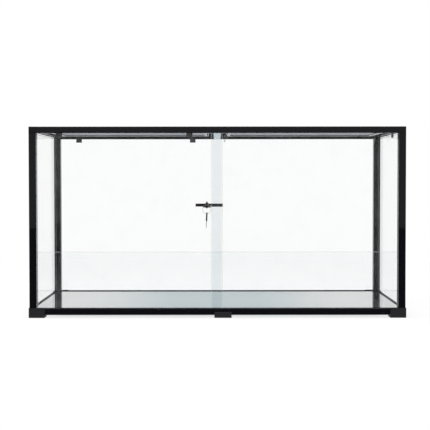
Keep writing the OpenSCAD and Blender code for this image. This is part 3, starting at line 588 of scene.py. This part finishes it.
def wire_layer(span, length, spread, turn, height):
    """Parallel wires, spread over a span and each as long as the cloth is the other way."""
    half = product(weave, cloth_size[span], 0.5)
    gaps = maths(weave, "FLOOR", maths(weave, "DIVIDE", cloth_size[span], cloth_size["Pitch"]))
    start = wired(weave, "ShaderNodeCombineXYZ", **{spread: product(weave, half, -1.0)}, Z=height)
    end = wired(weave, "ShaderNodeCombineXYZ", **{spread: half}, Z=height)
    line = wired(weave, "GeometryNodeMeshLine", {"mode": "END_POINTS"}, Count=maths(weave, "ADD", gaps, 1.0),
                 Start_Location=start.outputs["Vector"], Offset=end.outputs["Vector"])
    wire = wired(weave, "GeometryNodeMeshCylinder", Vertices=WIRE_SIDES,
                 Radius=product(weave, cloth_size["Wire"], 0.5), Depth=cloth_size[length])
    laid = wired(weave, "GeometryNodeInstanceOnPoints", Points=line.outputs["Mesh"],
                 Instance=wire.outputs["Mesh"], Rotation=turn)
    return laid.outputs["Instances"]


lower = product(weave, cloth_size["Wire"], -0.5)
upper = product(weave, cloth_size["Wire"], 0.5)
cloth = weave.nodes.new("GeometryNodeJoinGeometry")
for layer in (wire_layer("Width", "Depth", "X", (QUARTER_TURN, 0, 0), lower),
              wire_layer("Depth", "Width", "Y", (0, QUARTER_TURN, 0), upper)):
    weave.links.new(layer, cloth.inputs["Geometry"])
moved = wired(weave, "GeometryNodeTransform", Geometry=cloth.outputs["Geometry"],
              Translation=cloth_size["Middle"])
completed(weave, moved.outputs["Geometry"], cloth_size["Finish"])


def grown(name, tree, values):
    """Runs a node tree and returns what it makes as an object with a plain mesh."""
    seed = bpy.data.objects.new(name + "_seed", bpy.data.meshes.new(name + "_seed"))
    scene.collection.objects.link(seed)
    growth = seed.modifiers.new("growth", "NODES")
    growth.node_group = tree
    for socket in tree.interface.items_tree:
        if socket.in_out == "INPUT" and socket.name in values:
            growth[socket.identifier] = values[socket.name]
    graph = bpy.context.evaluated_depsgraph_get()
    piece = bpy.data.objects.new(name, bpy.data.meshes.new_from_object(seed.evaluated_get(graph)))
    bpy.data.objects.remove(seed)
    scene.collection.objects.link(piece)
    return piece


for side in ("left", "right"):
    dress(screen_plastic, side + "_screen_frame")
    dress(clip_plastic, side + "_screen_clips")
    dress(spline_rubber, side + "_screen_spline")
    low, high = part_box(side + "_screen_mesh")
    middle = (low + high) / 2
    mesh = grown(side + "_wire_cloth", weave, {
        "Pitch": WIRE_PITCH, "Wire": WIRE, "Width": high.x - low.x - WIRE, "Depth": high.y - low.y - WIRE,
        "Middle": tuple(middle), "Finish": wire_metal,
    })
    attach(mesh, side + "_screen")
    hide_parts(side + "_screen_mesh")


# ---------------------------------------------------------------- door lock
# A toothed strip hooks round the inner door's edge, and a cast housing slides
# along it and traps the outer door. Dark and bright plating, rubber stop.
STRIP_EDGE, HOUSING_EDGE, STOP_EDGE = 0.0002, 0.0004, 0.0003  # radii of the rounded edges
dark_plate = finish("dark_plating", (0.035, 0.035, 0.04), roughness=0.3, relief=0.00001,
                    scale=1500.0, stretch=(0.05, 1, 1), metallic=0.6)
bright_plate = finish("bright_plating", (0.2, 0.2, 0.215), roughness=0.3, relief=0.00001,
                      scale=900.0, metallic=1.0, uneven=0.08)
stop_rubber = finish("stop_rubber", (0.45, 0.46, 0.47), roughness=0.75, relief=0.0001,
                     scale=900.0, specular=0.2)
plug_plate = finish("plug_plating", (0.6, 0.6, 0.6), roughness=0.25, relief=0.00001,
                    scale=1500.0, metallic=1.0)
softened("lock_bar", "toothed_strip", dark_plate, STRIP_EDGE)
softened("lock_housing", "cast_housing", bright_plate, HOUSING_EDGE)
softened("lock_bumper", "rubber_stop", stop_rubber, STOP_EDGE)
dress(plug_plate, "lock_plug")


# ---------------------------------------------------------------- keys and ring
# Two nickel-plated blades in black moulded heads. One stays in the plug, the
# other hangs from it on a split ring of two flat turns of spring wire.
BLADE_EDGE, HEAD_EDGE = 0.00015, 0.0005  # radii of the rounded edges
nickel = finish("nickel_plating", (0.62, 0.6, 0.56), roughness=0.24, relief=0.00001,
                scale=1500.0, stretch=(0.1, 1, 1), metallic=1.0, uneven=0.08)
head_plastic = finish("key_head_plastic", (0.01, 0.01, 0.0115), roughness=0.4, relief=0.00004,
                      scale=1500.0, specular=0.2)
for key in ("", "spare_"):
    softened(key + "key_blade", key + "key_blade_milled", nickel, BLADE_EDGE)
    head = softened(key + "key_head", key + "key_head_moulding", head_plastic, HEAD_EDGE, slide=False)

RING_TURNS = 1.93  # two, less the gap between the wire's ends
TURN_STEPS = 64
SECTION_STEPS = 10
coil, ring_size = recipe("split_ring", Turns="Float", Radius="Float", Wire="Float",
                         Middle="Vector", Finish="Material")
wound = wired(coil, "GeometryNodeCurveSpiral", Resolution=TURN_STEPS, Rotations=ring_size["Turns"],
              Start_Radius=ring_size["Radius"], End_Radius=ring_size["Radius"], Height=ring_size["Wire"])
section = wired(coil, "GeometryNodeCurvePrimitiveCircle", Resolution=SECTION_STEPS,
                Radius=product(coil, ring_size["Wire"], 0.5))
tube = wired(coil, "GeometryNodeCurveToMesh", Curve=wound.outputs["Curve"],
             Profile_Curve=section.outputs["Curve"], Fill_Caps=True)
lift = wired(coil, "ShaderNodeCombineXYZ", Z=product(coil, ring_size["Wire"], -0.5))
level = wired(coil, "GeometryNodeTransform", Geometry=tube.outputs["Mesh"],
              Translation=lift.outputs["Vector"])
stood = wired(coil, "GeometryNodeTransform", Geometry=level.outputs["Geometry"],
              Translation=ring_size["Middle"], Rotation=(QUARTER_TURN, QUARTER_TURN, 0))
completed(coil, stood.outputs["Geometry"], ring_size["Finish"])

low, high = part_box("key_ring")
middle = (low + high) / 2
ring_wire = (high.y - low.y) / 2
ring = grown("split_ring_coil", coil, {
    "Turns": RING_TURNS, "Radius": (high.x - low.x - ring_wire) / 2, "Wire": ring_wire,
    "Middle": tuple(middle), "Finish": nickel,
})
for polygon in ring.data.polygons:
    polygon.use_smooth = True
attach(ring, "ring")
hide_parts("key_ring")
